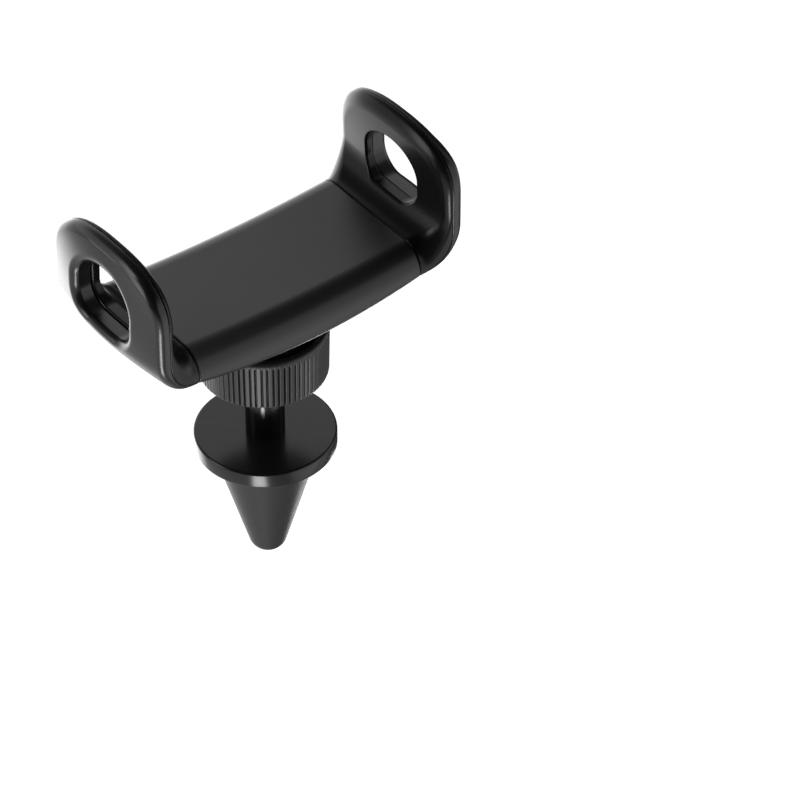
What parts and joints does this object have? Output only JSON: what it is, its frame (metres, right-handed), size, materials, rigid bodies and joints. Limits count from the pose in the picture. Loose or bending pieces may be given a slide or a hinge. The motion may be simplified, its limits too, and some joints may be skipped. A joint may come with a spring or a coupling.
{
  "type": "car phone mount",
  "caption": "Car vent phone mount with two spring-loaded arched jaws on a curved centre sleeve, a ribbed nut over a ball joint, a round stop disc and a split cone clip.",
  "frame": {"origin": "centre of the stop disc's vent-side face, where the clip cone begins", "axes": "+Z along the clip axis from the vent towards the phone; X from jaw to jaw; Y across the width of the cradle"},
  "size_m": [0.075, 0.0344, 0.0933],
  "materials": {
    "satin_plastic": "satin moulded, near-black",
    "jaw_plastic": "semi-gloss moulded, near-black",
    "housing_plastic": "fine matte texture, near-black",
    "gloss_plastic": "gloss moulded, black",
    "soft_touch": "matte soft-touch, near-black",
    "pad_rubber": "matte rubber",
    "nylon": "natural dark nylon",
    "nylon_black": "black nylon",
    "steel": "plain steel"
  },
  "bodies": {
    "base": {"vent_disc": "housing_plastic", "ball_stem": "gloss_plastic", "clip_hub": "nylon", "clip_pins": "steel", "front_clip_spring": "steel", "rear_clip_spring": "steel"},
    "front_prong": {"front_prong": "soft_touch", "front_prong_pad": "pad_rubber"},
    "rear_prong": {"rear_prong": "soft_touch", "rear_prong_pad": "pad_rubber"},
    "lower_seat": {"lower_ball_seat": "nylon"},
    "upper_seat": {"upper_ball_seat": "nylon"},
    "cradle": {"ball_socket": "nylon_black", "socket_screws": "steel", "back_cover": "satin_plastic", "front_cover": "satin_plastic", "cover_screws": "steel", "pinion_pin": "steel", "spring_posts": "steel", "left_spring": "steel", "right_spring": "steel"},
    "nut": {"knurled_nut": "satin_plastic"},
    "pinion": {"sync_pinion": "nylon"},
    "right_jaw": {"right_jaw": "jaw_plastic", "right_jaw_back": "jaw_plastic", "right_rack": "nylon"},
    "left_jaw": {"left_jaw": "jaw_plastic", "left_jaw_back": "jaw_plastic", "left_rack": "nylon"}
  },
  "joints": [
    {"name": "ball_spin", "type": "hinge", "parent": "base", "child": "lower_seat", "pos_m": [0, 0, 0.0244], "axis": [0, 0, 1], "continuous": true},
    {"name": "ball_pitch", "type": "hinge", "parent": "lower_seat", "child": "upper_seat", "pos_m": [0, 0, 0.0244], "axis": [1, 0, 0], "range_deg": [-15, 15]},
    {"name": "ball_roll", "type": "hinge", "parent": "upper_seat", "child": "cradle", "pos_m": [0, 0, 0.0244], "axis": [0, 1, 0], "range_deg": [-15, 15]},
    {"name": "nut_turn", "type": "hinge", "parent": "cradle", "child": "nut", "pos_m": [0, 0, 0.024], "axis": [0, 0, -1], "range_deg": [0, 270]},
    {"name": "right_jaw_slide", "type": "slide", "parent": "cradle", "child": "right_jaw", "axis": [1, 0, 0], "range_m": [0, 0.015], "stiffness_N_per_m": 150, "springref_m": -0.013, "deforming": ["right_spring"]},
    {"name": "left_jaw_slide", "type": "slide", "parent": "cradle", "child": "left_jaw", "axis": [-1, 0, 0], "range_m": [0, 0.015], "stiffness_N_per_m": 150, "springref_m": -0.013, "deforming": ["left_spring"]},
    {"name": "pinion_spin", "type": "hinge", "parent": "cradle", "child": "pinion", "pos_m": [0, 0, 0.0411], "axis": [0, 0, 1], "range_deg": [0, 210]},
    {"name": "front_prong_hinge", "type": "hinge", "parent": "base", "child": "front_prong", "pos_m": [-0.00222, -0.00284, -0.0022], "axis": [-0.788, 0.6157, 0], "range_deg": [0, 4], "stiffness_Nm_per_rad": 0.5, "springref_deg": -6.88, "deforming": ["front_clip_spring"]},
    {"name": "rear_prong_hinge", "type": "hinge", "parent": "base", "child": "rear_prong", "pos_m": [0.00222, 0.00284, -0.0022], "axis": [0.788, -0.6157, 0], "range_deg": [0, 4], "stiffness_Nm_per_rad": 0.5, "springref_deg": -6.88, "deforming": ["rear_clip_spring"]}
  ],
  "couplings": [
    {"joint": "left_jaw_slide", "follows": "right_jaw_slide", "ratio": 1},
    {"joint": "pinion_spin", "follows": "right_jaw_slide", "rad_per_m": 238.1}
  ]
}
